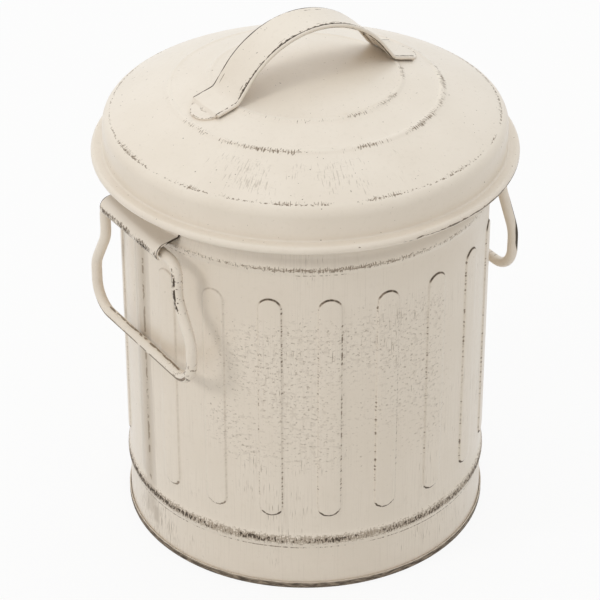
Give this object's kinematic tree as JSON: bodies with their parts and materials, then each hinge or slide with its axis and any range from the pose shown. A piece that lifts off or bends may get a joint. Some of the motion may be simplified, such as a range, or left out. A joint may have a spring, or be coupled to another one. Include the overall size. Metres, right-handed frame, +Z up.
{
  "type": "trash can",
  "caption": "Small cream sheet-metal trash can with pressed flutes, a lift-off domed lid with a riveted strap handle, and wire drop handles at its sides.",
  "frame": {"origin": "centre of the circle that the bin stands on", "axes": "+Z up along the bin's axis; +X towards the right drop handle and along the lid's strap"},
  "size_m": [0.1895, 0.1896, 0.2442],
  "materials": {
    "painted_sheet": "satin cream paint, worn dark along its edges",
    "painted_clip": "satin cream paint, worn dark along the fold",
    "painted_wire": "satin cream paint, chipped at the bends",
    "painted_strap": "satin cream paint, worn dark along both edges",
    "painted_rivet": "satin cream paint over steel",
    "core_wire": "bare steel wire inside the rolled edges"
  },
  "bodies": {
    "bin": {"body_wall": "painted_sheet", "bottom_pan": "painted_sheet", "body_rim_wire": "core_wire", "left_handle_clip": "painted_clip", "right_handle_clip": "painted_clip", "left_clip_rivets": "painted_rivet", "right_clip_rivets": "painted_rivet"},
    "lid": {"lid_shell": "painted_sheet", "lid_rim_wire": "core_wire", "lid_strap_handle": "painted_strap", "lid_handle_rivets": "painted_rivet"},
    "left_handle": {"left_handle": "painted_wire"},
    "right_handle": {"right_handle": "painted_wire"}
  },
  "joints": [
    {"name": "lid_lift", "type": "slide", "parent": "bin", "child": "lid", "axis": [0, 0, 1], "range_m": [0, 0.2]},
    {"name": "left_handle_swing", "type": "hinge", "parent": "bin", "child": "left_handle", "pos_m": [-0.0864, 0, 0.1658], "axis": [0, 1, 0], "range_deg": [0, 155]},
    {"name": "right_handle_swing", "type": "hinge", "parent": "bin", "child": "right_handle", "pos_m": [0.0864, 0, 0.1658], "axis": [0, -1, 0], "range_deg": [0, 155]}
  ]
}
